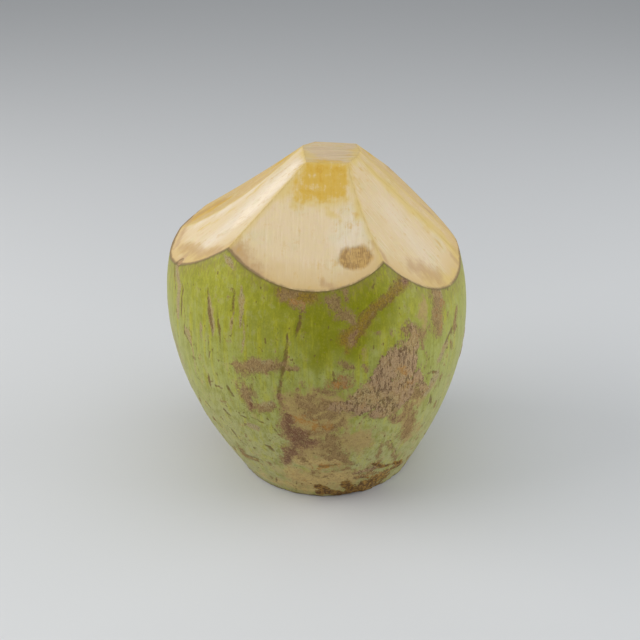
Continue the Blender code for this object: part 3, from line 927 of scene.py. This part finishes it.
def paintHusk():
    # fine fibres along each stroke under ochre, gold, bruises, painted light and painted shade, darker
    # towards the rim
    material, surface, feed = newMaterial("paredHusk", 0.75, 0.25)
    mark = feed.attribute
    place = feed.node("TexCoord", output=3)
    grainPlace = feed.node("UVMap", dict(uv_map="grain"))
    fibre = grainPlace.noise((1000, 80, 1), 3.0, 0.6)
    thread = grainPlace.noise((2300, 260, 1), 2.0, 0.6, seed=3.0)
    broad = place.noise((70, 70, 70), 2.0, seed=5.0)
    spot = place.noise((330, 330, 330), 3.0, 0.6, seed=8.0)
    blotch = grainPlace.noise((260, 90, 1), 2.0, 0.6, seed=13.0)
    # pale husk; along the front-left ridge partly painted light
    pale = mark("paleFace") + (mark("pale") + (broad - 0.5) * 0.8) * 0.9
    paint = Paint(huskHues, "beige")
    paint.lay(pale.step(0.0, 1.1), "pale")
    # painted light: cream laid over the front-left ridge, with the husk's own cream colour
    cream = (mark("cream") + (fibre - 0.5) * 0.8).step(0.10, 1.00)
    paint.lay(cream * 0.66, "cream")
    golden = mark("goldenFace")
    paint.lay(golden + (broad - 0.5) * golden * 1.2, "golden")
    paint.lay(mark("levelCut"), "level")
    paint.fleck(
        (broad, 0.50, 0.72, 0.30, "green"), (fibre, 0.50, 0.72, 0.24, "fibre"),
        (fibre, 0.46, 0.30, 0.30, "bright"), (thread, 0.55, 0.75, 0.25, "fibre"),
        (spot, 0.48, 0.66, 0.30, "pink"), (spot, 0.48, 0.32, 0.30, "lemon"),
    )
    line = grainPlace.noise((800, 16, 1), 2.0, 0.5, seed=17.0).step(0.53, 0.64) * mark("levelCut")
    paint.lay(line * 0.7, "levelLine")
    gap = mark("rimGap")
    wideBorder = 1 - (gap + (broad - 0.5) * 0.014).step(0.0010, 0.0170)
    paint.lay(wideBorder * 0.65, "border")
    border = 1 - (gap + (blotch - 0.5) * 0.006).step(0.0006, 0.0050)
    paint.lay(border * 0.50, "border")
    gold = (mark("gold") + (blotch - 0.5) * 0.7).step(0.12, 1.00)
    paint.lay(gold * 0.70, "gold")
    ragged = (blotch - 0.5) * 1.6 + (spot - 0.5) * 2.0 + (fibre - 0.5) + (broad - 0.5) * 1.2
    # a mark with a ragged edge: how ragged, where it starts to show and where it is full
    stain = lambda kind, wild, start, full: (mark(kind) + ragged * wild).step(start, full)
    inOchre = mark("ochre")
    ochre = (inOchre * 1.1 + ragged * (inOchre * 0.20 + 0.55)).step(0.00, 0.85)
    paint.lay(ochre * 0.95, "ochre")
    amber = (inOchre * 0.7 + ragged * 0.8).step(0.62, 1.05)
    paint.lay(amber * inOchre.step(0.02, 0.40) * 0.75, "amber")
    # bruises, with painted shade at the front face's lower left corner
    bruise = stain("bruise", 0.4, 0.15, 0.95)
    paint.lay(bruise * 0.65, "bruise")
    oval = stain("oval", 0.40, 0.08, 1.00)
    paint.lay(oval * 0.92, paint.mix((thread + spot - 0.5).step(0.30, 0.70), "oval", "ovalLight"))
    ridge = mark("ridgeGap") + (blotch - 0.5) * 0.0060
    paint.lay((1 - ridge.step(0.0, 0.0036)) * (1 - mark("levelCut") * 0.6) * 0.55, "gold")
    # painted shade: a dark dashed line along each ridge and the tip's edge
    crease = 1 - (mark("ridgeGap") + (spot - 0.5) * 0.0008).step(0.0, 0.0012)
    paint.lay(crease * fibre.step(0.38, 0.56) * 0.45, "crease")
    burn, char = mark("burn"), mark("char")
    rimLine = 1 - (gap - burn * 0.0006 - char * 0.0014 + (spot - 0.5) * 0.0016).step(0.0, 0.0014)
    paint.lay(rimLine * (blotch + burn * 0.5).step(0.25, 0.60) * 0.85, "burn")
    slip = mark("notchGap") + (spot - 0.5) * 0.5
    paint.lay((1 - slip.step(0.78, 0.98)) * 0.90, paint.mix(spot.step(0.42, 0.58), "slip", "bruise"))
    slipEdge = 1 - ((slip - 1.0) * (slip - 1.0)).step(0.001, 0.022)
    paint.lay(slipEdge * 0.75, "burn")
    plug(surface, "Base Color", paint.hue)
    plug(surface, "Roughness", 0.66 + (fibre - 0.5) * 0.25 + oval * 0.1)
    bump = fibre * 0.55 + thread * 0.40 + spot * 0.25 - oval * thread * 1.2
    normal = feed.node("Bump", None, {"Strength": 0.50, "Distance": 0.0004, "Height": bump})
    plug(surface, "Normal", normal)
    return material


footHues = dict(husk=(0.4, 0.27, 0.12), dark=(0.17, 0.1, 0.045), pale=(0.56, 0.41, 0.21))


def paintFoot():
    # the cut foot: ends of fibres as pale and dark dots
    material, surface, feed = newMaterial("footHusk", 0.85, 0.2)
    place = feed.node("TexCoord", output=3)
    dots = place.noise((900, 900, 900), 2.0, 0.6)
    patch = place.noise((90, 90, 90), 3.0, 0.6, seed=4.0)
    paint = Paint(footHues, "husk")
    paint.fleck(
        (patch, 0.38, 0.66, 1.0, "pale"), (dots, 0.50, 0.36, 1.0, "dark"), (patch, 0.46, 0.30, 0.7, "dark"),
    )
    plug(surface, "Base Color", paint.hue)
    normal = feed.node("Bump", None, {"Strength": 0.6, "Distance": 0.0006, "Height": dots + patch})
    plug(surface, "Normal", normal)
    return material


print("mixing the colours")
mesh.materials.append(paintSkin())
mesh.materials.append(paintHusk())
mesh.materials.append(paintFoot())

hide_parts("young_coconut")
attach(coconut, "root")

# Floor, light and camera

stage = dict(
    half=6.0, colour=(0.635, 0.645, 0.655), rough=0.7, sky=(0.94, 0.97, 1.0), skyPower=0.375, aim=0.09,
)
floorMesh = bpy.data.meshes.new("floor")
wide = stage["half"]
floorCorners = [(-wide, -wide, 0), (wide, -wide, 0), (wide, wide, 0), (-wide, wide, 0)]
floorMesh.from_pydata(floorCorners, [], [(0, 1, 2, 3)])
floor = bpy.data.objects.new("floor", floorMesh)
bpy.context.scene.collection.objects.link(floor)
floorMaterial, floorSurface, _ = newMaterial("paleFloor", stage["rough"], 0.3)
floorSurface.inputs["Base Color"].default_value = (*stage["colour"], 1)
floorMesh.materials.append(floorMaterial)

lamps = [
    dict(name="keyLeft", place=(-0.98, -0.10, 0.60), size=0.9, power=9.0, colour=(1.0, 0.985, 0.96)),
    dict(name="fillRight", place=(1.00, 0.00, 0.28), size=0.9, power=7.6, colour=(0.97, 0.985, 1.0)),
    dict(name="overhead", place=(0.0, -0.05, 0.88), size=0.8, power=1.7, colour=(1.0, 1.0, 1.0)),
    dict(name="frontFill", place=(0.10, -0.95, 0.45), size=0.9, power=1.4, colour=(1.0, 0.99, 0.97)),
]
for lamp in lamps:
    light = bpy.data.lights.new(lamp["name"], "AREA")
    light.size = lamp["size"]
    light.energy = lamp["power"]
    light.color = lamp["colour"]
    stand = bpy.data.objects.new(lamp["name"], light)
    stand.location = lamp["place"]
    toNut = Vector((0, 0, stage["aim"])) - Vector(lamp["place"])
    stand.rotation_euler = toNut.to_track_quat("-Z", "Y").to_euler()
    bpy.context.scene.collection.objects.link(stand)

world = bpy.data.worlds.new("softRoom")
world.use_nodes = True
world.node_tree.nodes["Background"].inputs["Color"].default_value = (*stage["sky"], 1)
world.node_tree.nodes["Background"].inputs["Strength"].default_value = stage["skyPower"]
bpy.context.scene.world = world
bpy.context.scene.view_settings.view_transform = "Standard"

cameraData = bpy.data.cameras.new("camera")
cameraData.lens = view["focal"]
cameraData.sensor_width = view["film"]
camera = bpy.data.objects.new("camera", cameraData)
camera.location = view["place"]
camera.rotation_euler = (math.radians(90 - view["dip"]), 0, 0)
bpy.context.scene.collection.objects.link(camera)
bpy.context.scene.camera = camera
